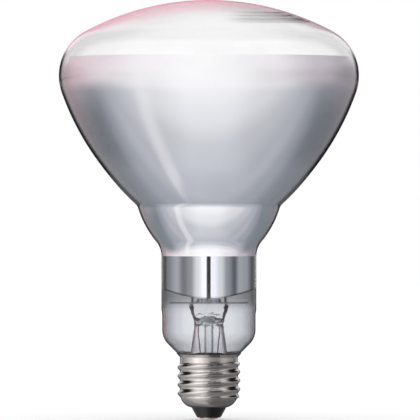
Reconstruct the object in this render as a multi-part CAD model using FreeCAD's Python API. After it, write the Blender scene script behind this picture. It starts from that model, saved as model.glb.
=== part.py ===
import FreeCAD
import Part
import math
import os

Vector = FreeCAD.Vector

# All lengths are in millimetres and all angles in degrees.
# The lamp stands on its centre contact, with its axis on Z and the domed face up.

# Screw cap, a rolled sheet shell with a 27 mm Edison thread
CAP_LENGTH = 27.8
THREAD_CREST_RADIUS = 13.1
THREAD_ROOT_RADIUS = 12.1
THREAD_PITCH = 3.63
THREAD_FADE = 1.4
THREAD_TOP_MARGIN = 3.3
THREAD_FOOT_MARGIN = 3.5
SECTIONS_PER_TURN = 12
CREST_HEIGHT_AT_RIGHT = 9.05
SHEET = 0.3
RIM_RADIUS = 13.6
RIM_CORNER_RADIUS = 0.5
BOWL_RADIUS = 6.0
MOUTH_RADIUS = 7.2

# Cap insulator, centre contact and solder
INSULATOR_FOOT_RADIUS = 4.9
INSULATOR_EDGE_ROUND = 0.7
INSULATOR_FOOT_HEIGHT = 0.8
INSULATOR_DEPTH_INSIDE = 1.8
INSULATOR_DEPTH_OUTSIDE = 4.1
EYELET_HOLE_RADIUS = 1.2
CONTACT_RADIUS = 3.7
CONTACT_THICKNESS = 0.4
CONTACT_FLAT_RADIUS = 1.3
CONTACT_BEAD_RADIUS = 2.6
CONTACT_PLUG_HEIGHT = 1.2
SIDE_BEAD_MARGIN = 0.05
SIDE_BEAD_FLATNESS = 0.6

# Glass bulb: foot and neck
GLASS_WALL = 1.0
CEMENT_THICKNESS = 1.0
CEMENT_CLEARANCE = 0.02
CEMENT_TOP_MARGIN = 0.2
SEAL_HEIGHT = 19.0
FOOT_LEAN = 45.0
FOOT_CORNER_RADIUS = 2.0
FOOT_SHOULDER_RADIUS = 8.6
LOWER_NECK_RADIUS = 19.45
LOWER_NECK_LENGTH = 6.0
NECK_STEP_LENGTH = 3.0
NECK_RADIUS = 19.8
CLEAR_NECK_LENGTH = 4.6
MIRRORED_NECK_LENGTH = 17.3

# Glass bulb: bowl, reflector, shoulder and domed face
NECK_FLARE_RADIUS = 9.3
NECK_BOWL_RADIUS = 40.0
WAIST_LEAN = 17.0
WAIST_CORNER_RADIUS = 2.5
WAIST_RADIUS = 30.6
REFLECTOR_FOCAL_LENGTH = 16.8
SHOULDER_BAND = 15.4
LOWER_SHOULDER_LEAN = 19.7
LOWER_SHOULDER_RADIUS = 22.0
SHOULDER_RADIUS = 21.0
BULB_RADIUS = 62.5
DOME_RISE = 31.5

# Aluminium mirror film on the inside of the glass
FILM = 0.12
MIRROR_RISE = 7.6

# Stem: flared tube, press, exhaust tube and arbor
STEM_RIM_THICKNESS = 1.2
STEM_WALL = 1.1
STEM_TUBE_RADIUS = 6.1
STEM_TUBE_HEIGHT = 20.6
STEM_FLARE_RADIUS = 9.3
STEM_WAIST_DROP = 3.0
STEM_FLARE_RISE = 6.0
STEM_FLARE_WIDTH = 1.2
PRESS_HEIGHT = 8.9
PRESS_HALF_WIDTH = 8.3
PRESS_HALF_DEPTH = 2.1
EXHAUST_RADIUS = 1.9
EXHAUST_BORE_RADIUS = 1.1
EXHAUST_LENGTH = 26.8
EXHAUST_TIP_LENGTH = 2.4
EXHAUST_HOLE_RISE = 2.2
ARBOR_RADIUS = 1.75
BUTTON_RADIUS = 3.0
BUTTON_DROP = 13.5

# Heat shield disc
SHIELD_RADIUS = 16.3
SHIELD_THICKNESS = 0.4
SHIELD_BOSS_RADIUS = 5.2
SHIELD_BOSS_HEIGHT = 1.7
SHIELD_LEAD_HOLE_RADIUS = 1.1
ARBOR_CLEARANCE = 0.05

# Wires
INNER_LEAD_RADIUS = 0.5
SEAL_WIRE_RADIUS = 0.4
OUTER_LEAD_RADIUS = 0.25
SUPPORT_WIRE_RADIUS = 0.2
LEAD_SPACING = 6.9
SEAL_WIRE_FOOT_SPACING = 4.5
OUTER_LEAD_SPACING = 3.2
LEAD_WELD_DEPTH = 1.1
SEAL_WIRE_TAIL = 0.8
SIDE_LEAD_AZIMUTH = 60.0
WIRE_BEND = 1.0

# Filament, a wreath round the focus of the reflector
WREATH_RADIUS = 13.0
WREATH_OPENING = 120.0
FILAMENT_RADIUS = 0.6
SUPPORT_COUNT = 5
HOOK_CLEARANCE = 0.05
CLAMP_RADIUS = 0.85
CLAMP_LENGTH = 2.0
SUPPORT_ROOT_DEPTH = 1.2

AXIS = Vector(0, 0, 1)
ORIGIN = Vector(0, 0, 0)
SPLINE_SPANS = 12


def at(radius, height):
    """A point of the half-plane that the round pieces are turned from."""
    return Vector(radius, 0, height)


def inward(lean):
    """The unit normal towards the axis of an outline that climbs leaning outward by lean."""
    angle = math.radians(lean)
    return Vector(-math.cos(angle), 0, math.sin(angle))


def straight(start, lean, length):
    """A straight leg of an outline: the edge for an inset, and its end."""
    angle = math.radians(lean)
    end = start + Vector(math.sin(angle), 0, math.cos(angle)) * length

    def edge(inset):
        shift = inward(lean) * inset
        return Part.LineSegment(start + shift, end + shift).toShape()

    return edge, end


def swing(start, lean, end_lean, radius):
    """An arc that leaves start at lean and ends at end_lean: the edge for an inset, and its end."""
    turns_in = 1 if end_lean < lean else -1
    centre = start + inward(lean) * (radius * turns_in)

    def point(angle, inset):
        return centre - inward(angle) * (turns_in * radius - inset)

    def edge(inset):
        middle = (lean + end_lean) / 2
        return Part.Arc(point(lean, inset), point(middle, inset), point(end_lean, inset)).toShape()

    return edge, point(end_lean, 0)


def flowing(poles):
    """A Bezier leg of an outline through its end poles: the edge for an inset, and its end."""
    curve = Part.BezierCurve()
    curve.setPoles(poles)

    def edge(inset):
        if inset == 0:
            return curve.toShape()
        points = []
        for step in range(SPLINE_SPANS + 1):
            along = step / SPLINE_SPANS
            tangent = curve.tangent(along)[0]
            points.append(curve.value(along) + Vector(-tangent.z, 0, tangent.x) * inset)
        spline = Part.BSplineCurve()
        spline.interpolate(points, InitialTangent=curve.tangent(0)[0], FinalTangent=curve.tangent(1)[0])
        return spline.toShape()

    return edge, poles[-1]


def ends(edge):
    """The two ends of an edge, in the order of its curve."""
    return edge.valueAt(edge.FirstParameter), edge.valueAt(edge.LastParameter)


def turned(edges):
    """The solid of revolution of a closed outline in the half-plane."""
    face = Part.Face(Part.Wire(edges))
    return face.revolve(ORIGIN, AXIS, 360)


def turned_polygon(corners):
    """The solid of revolution of a polygon of (radius, height) corners."""
    points = [at(*corner) for corner in corners]
    return Part.Face(Part.makePolygon(points + points[:1])).revolve(ORIGIN, AXIS, 360)


def layer(legs, outer_inset, inner_inset):
    """The turned solid between two insets of a run of legs, closed at both ends."""
    outer = [leg(outer_inset) for leg in legs]
    inner = [leg(inner_inset) for leg in legs]
    foot = Part.LineSegment(ends(inner[0])[0], ends(outer[0])[0]).toShape()
    head = Part.LineSegment(ends(outer[-1])[1], ends(inner[-1])[1]).toShape()
    return turned(outer + [head] + inner[::-1] + [foot])


def bent_path(points, bend):
    """Straight runs through points, joined by tangent arcs of radius bend, as one wire."""
    edges = []
    start = points[0]
    for before, corner, after in zip(points, points[1:], points[2:]):
        towards = (before - corner).normalize()
        onwards = (after - corner).normalize()
        half_turn = (math.pi - towards.getAngle(onwards)) / 2
        cut = bend * math.tan(half_turn)
        middle = corner + (towards + onwards).normalize() * (bend / math.cos(half_turn) - bend)
        edges.append(Part.LineSegment(start, corner + towards * cut).toShape())
        edges.append(Part.Arc(corner + towards * cut, middle, corner + onwards * cut).toShape())
        start = corner + onwards * cut
    edges.append(Part.LineSegment(start, points[-1]).toShape())
    return Part.Wire(edges)


def wire_along(points, radius, bend=WIRE_BEND):
    """A round wire along a bent path."""
    direction = points[1] - points[0]
    section = Part.Wire(Part.makeCircle(radius, points[0], direction))
    return bent_path(points, bend).makePipeShell([section], True, False)


def rod(start, end, radius):
    """A round rod between two points."""
    return Part.makeCylinder(radius, (end - start).Length, start, end - start)


def mirrored(point):
    """The same point on the left side of the lamp."""
    return Vector(-point.x, point.y, point.z)


def polar(radius, azimuth, height):
    """A point at an azimuth round the axis."""
    angle = math.radians(azimuth)
    return Vector(radius * math.cos(angle), radius * math.sin(angle), height)


# Heights and radii that follow from the sizes above
CAP_INNER_RADIUS = THREAD_ROOT_RADIUS - SHEET
SEAL_RADIUS = CAP_INNER_RADIUS - CEMENT_THICKNESS
MOUTH_HEIGHT = INSULATOR_FOOT_HEIGHT + INSULATOR_DEPTH_OUTSIDE
BOWL_CENTRE_RADIUS = THREAD_ROOT_RADIUS - BOWL_RADIUS
BOWL_CENTRE_HEIGHT = MOUTH_HEIGHT + BOWL_RADIUS
THREAD_FOOT = MOUTH_HEIGHT + THREAD_FOOT_MARGIN
THREAD_TOP = CAP_LENGTH - THREAD_TOP_MARGIN
RIM_TOUCH_RADIUS = RIM_RADIUS - SHEET * math.cos(math.radians(FOOT_LEAN))
PRESS_FOOT = SEAL_HEIGHT + STEM_TUBE_HEIGHT
PRESS_TOP = PRESS_FOOT + PRESS_HEIGHT
STEM_BORE_RADIUS = STEM_TUBE_RADIUS - STEM_WALL


def foot_corner_height():
    """Where the glass leaves the seal cylinder, so that its cone seats in the rim of the cap."""
    lean = math.radians(FOOT_LEAN)
    corner_width = FOOT_CORNER_RADIUS * (1 - math.cos(lean))
    cone_width = RIM_TOUCH_RADIUS - SEAL_RADIUS - corner_width
    return CAP_LENGTH - cone_width / math.tan(lean) - FOOT_CORNER_RADIUS * math.sin(lean)


def foot_and_neck_legs():
    """The outline from the seal up to the lower edge of the mirror."""
    legs = []
    lean = math.radians(FOOT_LEAN)
    edge, point = straight(at(SEAL_RADIUS, SEAL_HEIGHT), 0, foot_corner_height() - SEAL_HEIGHT)
    legs.append(edge)
    edge, point = swing(point, 0, FOOT_LEAN, FOOT_CORNER_RADIUS)
    legs.append(edge)
    shoulder_width = FOOT_SHOULDER_RADIUS * (1 - math.cos(lean))
    cone_width = LOWER_NECK_RADIUS - shoulder_width - point.x
    edge, point = straight(point, FOOT_LEAN, cone_width / math.sin(lean))
    legs.append(edge)
    edge, point = swing(point, FOOT_LEAN, 0, FOOT_SHOULDER_RADIUS)
    legs.append(edge)
    edge, point = straight(point, 0, LOWER_NECK_LENGTH)
    legs.append(edge)
    step_lean = 2 * math.atan((NECK_RADIUS - LOWER_NECK_RADIUS) / NECK_STEP_LENGTH)
    step_radius = NECK_STEP_LENGTH / (2 * math.sin(step_lean))
    edge, point = swing(point, 0, math.degrees(step_lean), step_radius)
    legs.append(edge)
    edge, point = swing(point, math.degrees(step_lean), 0, step_radius)
    legs.append(edge)
    edge, point = straight(point, 0, CLEAR_NECK_LENGTH)
    legs.append(edge)
    return legs, point


def mirrored_legs(point):
    """The outline from the lower edge of the mirror up to its rim."""
    legs = []
    edge, point = straight(point, 0, MIRRORED_NECK_LENGTH)
    legs.append(edge)
    parabola_lean = math.atan(2 * REFLECTOR_FOCAL_LENGTH / WAIST_RADIUS)
    waist_cosine = math.cos(math.radians(WAIST_LEAN))
    corner_width = WAIST_CORNER_RADIUS * (waist_cosine - math.cos(parabola_lean))
    bowl_width = WAIST_RADIUS - NECK_RADIUS - corner_width
    flare_cosine = NECK_FLARE_RADIUS + NECK_BOWL_RADIUS * waist_cosine - bowl_width
    flare_lean = math.degrees(math.acos(flare_cosine / (NECK_FLARE_RADIUS + NECK_BOWL_RADIUS)))
    edge, point = swing(point, 0, flare_lean, NECK_FLARE_RADIUS)
    legs.append(edge)
    edge, point = swing(point, flare_lean, WAIST_LEAN, NECK_BOWL_RADIUS)
    legs.append(edge)
    edge, point = swing(point, WAIST_LEAN, math.degrees(parabola_lean), WAIST_CORNER_RADIUS)
    legs.append(edge)

    vertex = point.z - point.x**2 / (4 * REFLECTOR_FOCAL_LENGTH)
    top_radius = BULB_RADIUS - SHOULDER_BAND
    top = at(top_radius, vertex + top_radius**2 / (4 * REFLECTOR_FOCAL_LENGTH))
    knee = at((point.x + top_radius) / 2, vertex + point.x * top_radius / (4 * REFLECTOR_FOCAL_LENGTH))
    edge, point = flowing([point, knee, top])
    legs.append(edge)

    top_lean = math.atan(2 * REFLECTOR_FOCAL_LENGTH / top_radius)
    shoulder_cosine = math.cos(math.radians(LOWER_SHOULDER_LEAN))
    blend_width = SHOULDER_BAND - LOWER_SHOULDER_RADIUS * (1 - shoulder_cosine)
    blend_radius = blend_width / (shoulder_cosine - math.cos(top_lean))
    edge, point = swing(point, math.degrees(top_lean), LOWER_SHOULDER_LEAN, blend_radius)
    legs.append(edge)
    edge, point = swing(point, LOWER_SHOULDER_LEAN, 0, LOWER_SHOULDER_RADIUS)
    legs.append(edge)
    edge, point = swing(point, 0, -mirror_rim_angle(), SHOULDER_RADIUS)
    legs.append(edge)
    return legs, point, vertex + REFLECTOR_FOCAL_LENGTH


def mirror_rim_angle():
    """How far up the shoulder arc the mirror ends."""
    return math.degrees(math.asin(MIRROR_RISE / SHOULDER_RADIUS))


def dome_legs(point):
    """The outline from the rim of the mirror over the domed face to the axis."""
    centre_radius = BULB_RADIUS - SHOULDER_RADIUS
    squares = centre_radius**2 + DOME_RISE**2 - SHOULDER_RADIUS**2
    dome_radius = squares / (2 * (DOME_RISE - SHOULDER_RADIUS))
    touch_angle = math.degrees(math.acos(centre_radius / (dome_radius - SHOULDER_RADIUS)))
    shoulder, point = swing(point, -mirror_rim_angle(), -touch_angle, SHOULDER_RADIUS)
    dome, apex = swing(point, -touch_angle, -90, dome_radius)
    return [shoulder, dome]


def bulb_outline():
    """The legs of the glass below, along and above the mirror, and the height of the focus."""
    below, point = foot_and_neck_legs()
    along, point, focus = mirrored_legs(point)
    return below, along, dome_legs(point), focus


def shell_root_radius(height, inset):
    """The radius of the cap shell at the bottom of its thread."""
    if height >= BOWL_CENTRE_HEIGHT:
        return THREAD_ROOT_RADIUS - inset
    drop = BOWL_CENTRE_HEIGHT - height
    return BOWL_CENTRE_RADIUS + math.sqrt((BOWL_RADIUS - inset) ** 2 - drop**2)


def thread_depth_share(height):
    """How much of its full depth the thread has at a height: it fades in and out."""
    near = min(height - THREAD_FOOT, THREAD_TOP - height) / THREAD_FADE
    near = min(max(near, 0), 1)
    return near * near * (3 - 2 * near)


def threaded_column(inset):
    """The threaded length of the shell as a solid.

    Cut across, a rolled round thread is a circle beside the axis.
    Its centre goes round the axis once in each pitch.
    """
    count = round((THREAD_TOP - THREAD_FOOT) / THREAD_PITCH * SECTIONS_PER_TURN)
    half_depth = (THREAD_CREST_RADIUS - THREAD_ROOT_RADIUS) / 2
    sections = []
    for step in range(count + 1):
        height = THREAD_FOOT + (THREAD_TOP - THREAD_FOOT) * step / count
        offset = half_depth * thread_depth_share(height)
        azimuth = 360 * (height - CREST_HEIGHT_AT_RIGHT) / THREAD_PITCH
        radius = shell_root_radius(height, inset) + offset
        circle = Part.makeCircle(radius, polar(offset, azimuth, height), AXIS)
        sections.append(Part.Wire(circle))
    return Part.makeLoft(sections, True, False)


def cap_bowl():
    """The plain bottom of the shell, drawn in to the mouth that holds the insulator."""
    centre = at(BOWL_CENTRE_RADIUS, BOWL_CENTRE_HEIGHT)

    def side(inset):
        radius = BOWL_RADIUS - inset
        reach = MOUTH_RADIUS - BOWL_CENTRE_RADIUS
        mouth = at(MOUTH_RADIUS, BOWL_CENTRE_HEIGHT - math.sqrt(radius**2 - reach**2))
        top = at(shell_root_radius(THREAD_FOOT, inset), THREAD_FOOT)
        middle = centre + ((mouth - centre).normalize() + (top - centre).normalize()).normalize() * radius
        return mouth, middle, top

    outer = side(0)
    inner = side(SHEET)
    return turned([
        Part.Arc(*outer).toShape(),
        Part.LineSegment(outer[2], inner[2]).toShape(),
        Part.Arc(*inner).toShape(),
        Part.LineSegment(inner[0], outer[0]).toShape(),
    ])


def cap_rim():
    """The plain band above the thread and the rim that flares out under the glass."""
    lean = math.radians(FOOT_LEAN)
    start = at(THREAD_ROOT_RADIUS, THREAD_TOP)
    corner_width = RIM_CORNER_RADIUS * (1 - math.cos(lean))
    flare_width = RIM_RADIUS - THREAD_ROOT_RADIUS - corner_width
    flare_height = flare_width / math.tan(lean)
    tip_height = CAP_LENGTH - SHEET * math.sin(lean)
    band = tip_height - flare_height - RIM_CORNER_RADIUS * math.sin(lean) - THREAD_TOP
    legs = []
    edge, point = straight(start, 0, band)
    legs.append(edge)
    edge, point = swing(point, 0, FOOT_LEAN, RIM_CORNER_RADIUS)
    legs.append(edge)
    edge, point = straight(point, FOOT_LEAN, flare_width / math.sin(lean))
    legs.append(edge)
    return layer(legs, 0, SHEET), band


def side_lead_hole(height):
    """The hole in the plain band that the side lead comes out of."""
    reach = THREAD_CREST_RADIUS
    return rod(polar(SEAL_RADIUS, SIDE_LEAD_AZIMUTH, height), polar(reach, SIDE_LEAD_AZIMUTH, height),
               OUTER_LEAD_RADIUS)


def cap_shell():
    """The rolled shell, the height of the side lead's hole in it and the width of its plain band."""
    rim, band = cap_rim()
    hole_height = THREAD_TOP + band / 2
    thread = threaded_column(0).cut(threaded_column(SHEET))
    shell = cap_bowl().fuse([thread, rim]).removeSplitter()
    return shell.cut(side_lead_hole(hole_height)), hole_height, band


def cap_insulator():
    """The black glass that fills the mouth of the shell and carries the centre contact."""
    top = MOUTH_HEIGHT + SHEET + INSULATOR_DEPTH_INSIDE
    inner_radius = BOWL_RADIUS - SHEET
    centre = at(BOWL_CENTRE_RADIUS, BOWL_CENTRE_HEIGHT)
    reach = MOUTH_RADIUS - BOWL_CENTRE_RADIUS
    mouth_in = at(MOUTH_RADIUS, BOWL_CENTRE_HEIGHT - math.sqrt(inner_radius**2 - reach**2))
    mouth_out = at(MOUTH_RADIUS, BOWL_CENTRE_HEIGHT - math.sqrt(BOWL_RADIUS**2 - reach**2))
    shoulder = at(shell_root_radius(top, SHEET), top)
    between = ((mouth_in - centre).normalize() + (shoulder - centre).normalize()).normalize()
    flank = (mouth_out - at(INSULATOR_FOOT_RADIUS, INSULATOR_FOOT_HEIGHT)).normalize()
    foot_edge = at(INSULATOR_FOOT_RADIUS, INSULATOR_FOOT_HEIGHT)
    foot_in = foot_edge - Vector(INSULATOR_EDGE_ROUND, 0, 0)
    foot_out = foot_edge + flank * INSULATOR_EDGE_ROUND
    foot_round = Part.BezierCurve()
    foot_round.setPoles([foot_in, foot_edge, foot_out])
    hole_foot = at(EYELET_HOLE_RADIUS, INSULATOR_FOOT_HEIGHT)
    hole_top = at(EYELET_HOLE_RADIUS, top)
    return turned([
        Part.LineSegment(hole_foot, foot_in).toShape(),
        foot_round.toShape(),
        Part.LineSegment(foot_out, mouth_out).toShape(),
        Part.LineSegment(mouth_out, mouth_in).toShape(),
        Part.Arc(mouth_in, centre + between * inner_radius, shoulder).toShape(),
        Part.LineSegment(shoulder, hole_top).toShape(),
        Part.LineSegment(hole_top, hole_foot).toShape(),
    ])


def centre_contact():
    """The brass contact plate, with the hole that the lead is soldered in."""
    foot = INSULATOR_FOOT_HEIGHT - CONTACT_THICKNESS
    plate = Part.makeCylinder(CONTACT_RADIUS, CONTACT_THICKNESS, Vector(0, 0, foot))
    plate = plate.makeFillet(CONTACT_THICKNESS / 2, [edge_at(plate, CONTACT_RADIUS, foot)])
    hole = Part.makeCylinder(EYELET_HOLE_RADIUS, CONTACT_THICKNESS, Vector(0, 0, foot))
    return plate.cut(hole)


def edge_at(solid, radius, height):
    """The circular edge of a turned solid at a radius and a height."""
    for edge in solid.Edges:
        curve = edge.Curve
        if isinstance(curve, Part.Circle) and abs(curve.Radius - radius) + abs(curve.Center.z - height) < 1e-6:
            return edge


def contact_solder(lead):
    """The bead under the contact plate and the plug in its hole, set round the end of the lead."""
    plate_foot = INSULATOR_FOOT_HEIGHT - CONTACT_THICKNESS
    bead = Part.BezierCurve()
    bead.setPoles([at(CONTACT_FLAT_RADIUS, 0), at(CONTACT_BEAD_RADIUS, 0), at(CONTACT_BEAD_RADIUS, plate_foot)])
    plug_top = INSULATOR_FOOT_HEIGHT + CONTACT_PLUG_HEIGHT
    corners = [
        at(CONTACT_BEAD_RADIUS, plate_foot),
        at(EYELET_HOLE_RADIUS, plate_foot),
        at(EYELET_HOLE_RADIUS, plug_top),
        at(0, plug_top),
        at(0, 0),
        at(CONTACT_FLAT_RADIUS, 0),
    ]
    sides = [Part.LineSegment(a, b).toShape() for a, b in zip(corners, corners[1:])]
    return turned([bead.toShape()] + sides).cut(lead)


def side_solder(height, band, lead):
    """The bead on the plain band that joins the side lead to the shell."""
    ball = Part.makeSphere(band / 2 - SIDE_BEAD_MARGIN)
    squeeze = FreeCAD.Matrix()
    squeeze.scale(SIDE_BEAD_FLATNESS, 1, 1)
    bead = ball.transformGeometry(squeeze)
    bead.rotate(ORIGIN, AXIS, SIDE_LEAD_AZIMUTH)
    bead.translate(polar(THREAD_ROOT_RADIUS, SIDE_LEAD_AZIMUTH, height))
    inside = Part.makeCylinder(THREAD_ROOT_RADIUS, CAP_LENGTH)
    return bead.cut([inside, lead])


def press_section(height, half_width, half_depth, roundness):
    """A section of the press: a circle where roundness is 1, and flat where it is near 0."""
    diagonal = math.sqrt(0.5)
    corner_x = half_width - half_depth * (1 - diagonal)
    corner_y = half_depth * (diagonal * roundness + 0.92 * (1 - roundness))
    corners = [
        Vector(corner_x, -corner_y, height),
        Vector(corner_x, corner_y, height),
        Vector(-corner_x, corner_y, height),
        Vector(-corner_x, -corner_y, height),
    ]
    middles = [
        Vector(half_width, 0, height),
        Vector(0, half_depth, height),
        Vector(-half_width, 0, height),
        Vector(0, -half_depth, height),
    ]
    arcs = [
        Part.Arc(corners[i], middles[i], corners[(i + 1) % len(corners)]).toShape()
        for i in range(len(corners))
    ]
    return Part.Wire(arcs)


def press_solid():
    """The top of the stem tube, squeezed flat while hot round the seal wires."""
    sections = []
    for share in (0, 0.2, 0.5, 0.8, 1):
        squeeze = math.sin(math.pi / 2 * share)
        half_width = STEM_TUBE_RADIUS + (PRESS_HALF_WIDTH - STEM_TUBE_RADIUS) * squeeze**2
        half_depth = STEM_TUBE_RADIUS + (PRESS_HALF_DEPTH - STEM_TUBE_RADIUS) * squeeze
        sections.append(press_section(PRESS_FOOT + PRESS_HEIGHT * share, half_width, half_depth, 1 - squeeze))
    return Part.makeLoft(sections, True, False)


def stem_tube():
    """The flared tube of the stem, whose rim is sealed to the end of the bulb's neck."""
    flare, top = flowing([
        at(STEM_FLARE_RADIUS, SEAL_HEIGHT),
        at(STEM_FLARE_RADIUS - STEM_FLARE_WIDTH, SEAL_HEIGHT + STEM_FLARE_RISE),
        at(STEM_TUBE_RADIUS, PRESS_FOOT - STEM_WAIST_DROP),
        at(STEM_TUBE_RADIUS, PRESS_FOOT),
    ])
    outer = flare(0)
    inner = flare(STEM_WALL)
    inner_foot, inner_top = ends(inner)
    rim_foot = SEAL_HEIGHT - STEM_RIM_THICKNESS
    corners = [
        inner_foot,
        at(inner_foot.x, rim_foot),
        at(SEAL_RADIUS, rim_foot),
        at(SEAL_RADIUS, SEAL_HEIGHT),
        at(STEM_FLARE_RADIUS, SEAL_HEIGHT),
    ]
    sides = [Part.LineSegment(a, b).toShape() for a, b in zip(corners, corners[1:])]
    head = Part.LineSegment(top, inner_top).toShape()
    return turned(sides + [outer, head, inner])


def stem_glass(sealed_wires):
    """The flared tube and press as one glass piece, with its wires sealed in."""
    bore_top = Vector(0, 0, PRESS_FOOT + EXHAUST_HOLE_RISE)
    exhaust = rod(Vector(0, 0, PRESS_FOOT), bore_top, EXHAUST_BORE_RADIUS)
    side_exit = rod(bore_top, bore_top - Vector(0, STEM_TUBE_RADIUS, 0), EXHAUST_BORE_RADIUS)
    end_ball = Part.makeSphere(EXHAUST_BORE_RADIUS, bore_top)
    stem = stem_tube().fuse(press_solid()).removeSplitter()
    return stem.cut([exhaust.fuse([side_exit, end_ball])] + sealed_wires)


def exhaust_tube():
    """The tube that the bulb was pumped through, closed at its melted tip."""
    tip = PRESS_FOOT - EXHAUST_LENGTH
    shoulder = tip + EXHAUST_TIP_LENGTH
    wall = EXHAUST_RADIUS - EXHAUST_BORE_RADIUS
    outside = Part.BezierCurve()
    outside.setPoles([at(0, tip), at(EXHAUST_BORE_RADIUS, tip), at(EXHAUST_RADIUS, tip + wall),
                      at(EXHAUST_RADIUS, shoulder)])
    corners = [
        at(EXHAUST_RADIUS, shoulder),
        at(EXHAUST_RADIUS, PRESS_FOOT),
        at(EXHAUST_BORE_RADIUS, PRESS_FOOT),
        at(EXHAUST_BORE_RADIUS, shoulder + wall),
        at(0, shoulder),
        at(0, tip),
    ]
    sides = [Part.LineSegment(a, b).toShape() for a, b in zip(corners, corners[1:])]
    return turned([outside.toShape()] + sides)


def arbor_rod(button_height, supports):
    """The glass rod on the press, with the button that its support wires are set in."""
    foot = Vector(0, 0, PRESS_TOP)
    stalk = rod(foot, Vector(0, 0, button_height), ARBOR_RADIUS)
    button = Part.makeSphere(BUTTON_RADIUS, Vector(0, 0, button_height))
    return stalk.fuse(button).cut(supports)


def heat_shield():
    """The pressed aluminium disc across the neck, with its raised boss round the arbor."""
    sheet = SHIELD_THICKNESS
    boss_top = PRESS_TOP + SHIELD_BOSS_HEIGHT
    arbor_hole = ARBOR_RADIUS + ARBOR_CLEARANCE
    disc = turned_polygon([
        (SHIELD_RADIUS, PRESS_TOP),
        (SHIELD_RADIUS, PRESS_TOP + sheet),
        (SHIELD_BOSS_RADIUS, PRESS_TOP + sheet),
        (SHIELD_BOSS_RADIUS - sheet, boss_top),
        (arbor_hole, boss_top),
        (arbor_hole, boss_top - sheet),
        (SHIELD_BOSS_RADIUS - 2 * sheet, boss_top - sheet),
        (SHIELD_BOSS_RADIUS - sheet, PRESS_TOP),
    ])
    for side in (-1, 1):
        foot = Vector(side * LEAD_SPACING, 0, PRESS_TOP)
        disc = disc.cut(rod(foot, foot + AXIS * sheet, SHIELD_LEAD_HOLE_RADIUS))
    return disc


def seal_wire_points():
    """The route of the right seal wire, from inside the stem tube to its weld in the press."""
    weld = PRESS_TOP - LEAD_WELD_DEPTH
    return [
        Vector(SEAL_WIRE_FOOT_SPACING, 0, PRESS_FOOT - SEAL_WIRE_TAIL),
        Vector(SEAL_WIRE_FOOT_SPACING, 0, PRESS_FOOT + PRESS_HEIGHT * 0.15),
        Vector(LEAD_SPACING, 0, weld - PRESS_HEIGHT * 0.15),
        Vector(LEAD_SPACING, 0, weld),
    ]


def filament_end(focus):
    """Where the right end of the filament is, and the direction in which its lead clamps on."""
    azimuth = -90 + WREATH_OPENING / 2
    end = polar(WREATH_RADIUS, azimuth, focus)
    away = polar(1, azimuth - 90, 0)
    return end, away


def inner_lead(focus, side):
    """A stiff lead from the press up to the filament, with the clamp that grips its end."""
    end, away = filament_end(focus)
    grip = end + away * (CLAMP_LENGTH / 2)
    lean_from = PRESS_TOP + (focus - PRESS_TOP) * 0.25
    lean_to = PRESS_TOP + (focus - PRESS_TOP) * 0.8
    points = [
        Vector(LEAD_SPACING, 0, PRESS_TOP - LEAD_WELD_DEPTH),
        Vector(LEAD_SPACING, 0, lean_from),
        Vector(grip.x, grip.y, lean_to),
        grip,
    ]
    tail = end + away * CLAMP_LENGTH
    if side < 0:
        points = [mirrored(point) for point in points]
        end, tail = mirrored(end), mirrored(tail)
    return wire_along(points, INNER_LEAD_RADIUS, WIRE_BEND * 4).fuse(rod(end, tail, CLAMP_RADIUS))


def side_lead(hole_height):
    """The copper lead from the right seal wire, out under the stem's rim and up to the side solder."""
    gap_radius = SEAL_RADIUS + CEMENT_THICKNESS / 2
    run_height = SEAL_HEIGHT - STEM_RIM_THICKNESS - WIRE_BEND * 1.6
    start = seal_wire_points()[0]
    points = [
        start,
        start - AXIS * 3,
        Vector(OUTER_LEAD_SPACING, 0, SEAL_HEIGHT + STEM_FLARE_RISE),
        polar(SEAL_RADIUS * 0.55, SIDE_LEAD_AZIMUTH, run_height),
        polar(gap_radius, SIDE_LEAD_AZIMUTH, run_height),
        polar(gap_radius, SIDE_LEAD_AZIMUTH, hole_height),
        polar(THREAD_ROOT_RADIUS + SHEET, SIDE_LEAD_AZIMUTH, hole_height),
    ]
    return wire_along(points, OUTER_LEAD_RADIUS, WIRE_BEND * 0.4)


def contact_lead():
    """The copper lead from the left seal wire, past the exhaust tip and down to the centre contact."""
    start = mirrored(seal_wire_points()[0])
    tip = PRESS_FOOT - EXHAUST_LENGTH
    points = [
        start,
        start - AXIS * 3,
        Vector(-OUTER_LEAD_SPACING, 0, SEAL_HEIGHT + STEM_FLARE_RISE),
        Vector(-EXHAUST_RADIUS * 1.8, 0, tip + EXHAUST_TIP_LENGTH),
        Vector(0, 0, (tip + MOUTH_HEIGHT) / 2),
        Vector(0, 0, INSULATOR_FOOT_HEIGHT),
    ]
    return wire_along(points, OUTER_LEAD_RADIUS)


def filament(focus):
    """The coiled wire as a solid of its outer shape: part of a ring round the focus."""
    start, away = filament_end(focus)
    section = Part.Face(Part.Wire(Part.makeCircle(FILAMENT_RADIUS, start, away)))
    return section.revolve(ORIGIN, AXIS, 360 - WREATH_OPENING)


def support_wire(index, focus, button_height):
    """A thin wire from the button up to a closed hook round the filament."""
    span = (360 - WREATH_OPENING) / (SUPPORT_COUNT + 1)
    azimuth = -90 + WREATH_OPENING / 2 + span * (index + 1)
    hook_radius = FILAMENT_RADIUS + HOOK_CLEARANCE + SUPPORT_WIRE_RADIUS
    along = polar(1, azimuth + 90, 0)
    hook = Part.makeTorus(hook_radius, SUPPORT_WIRE_RADIUS, polar(WREATH_RADIUS, azimuth, focus), along)
    root = polar(BUTTON_RADIUS - SUPPORT_ROOT_DEPTH, azimuth, button_height)
    knee = polar(WREATH_RADIUS, azimuth, button_height + (focus - button_height) * 0.35)
    tip = polar(WREATH_RADIUS, azimuth, focus - hook_radius)
    return wire_along([root, knee, tip], SUPPORT_WIRE_RADIUS).fuse(hook)


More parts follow.
